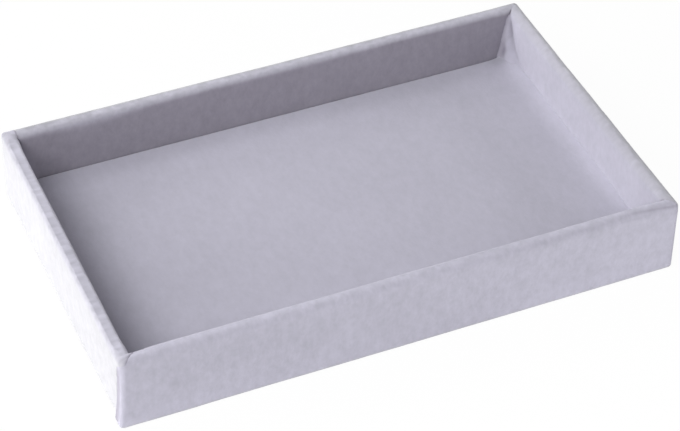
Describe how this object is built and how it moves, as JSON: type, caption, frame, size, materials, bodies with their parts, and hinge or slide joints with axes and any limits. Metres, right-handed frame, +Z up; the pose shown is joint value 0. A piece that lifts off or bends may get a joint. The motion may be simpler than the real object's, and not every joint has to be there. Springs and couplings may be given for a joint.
{
  "type": "jewelry tray",
  "caption": "Shallow open rectangular jewelry tray: a comb-jointed board frame wrapped in velvet, with a velvet-covered floor pad pressed in.",
  "frame": {"origin": "centre of the underside, on the surface that the tray stands on", "axes": "+X along the long side towards the right, +Y towards the back, +Z up; the pictured corner is at -X -Y"},
  "size_m": [0.24, 0.15, 0.035],
  "materials": {
    "velvet": "short-pile velvet, lavender grey",
    "mdf": "bare sanded fibreboard",
    "greyboard": "bare greyboard",
    "base_sheet": "thin flocked sheet"
  },
  "bodies": {
    "root": {"base_board": "mdf", "wall_front": "mdf", "wall_back": "mdf", "wall_left": "mdf", "wall_right": "mdf", "wrap_front": "velvet", "wrap_back": "velvet", "wrap_left": "velvet", "wrap_right": "velvet", "pad_board": "greyboard", "pad_cover": "velvet", "base_sheet": "base_sheet"}
  },
  "joints": []
}
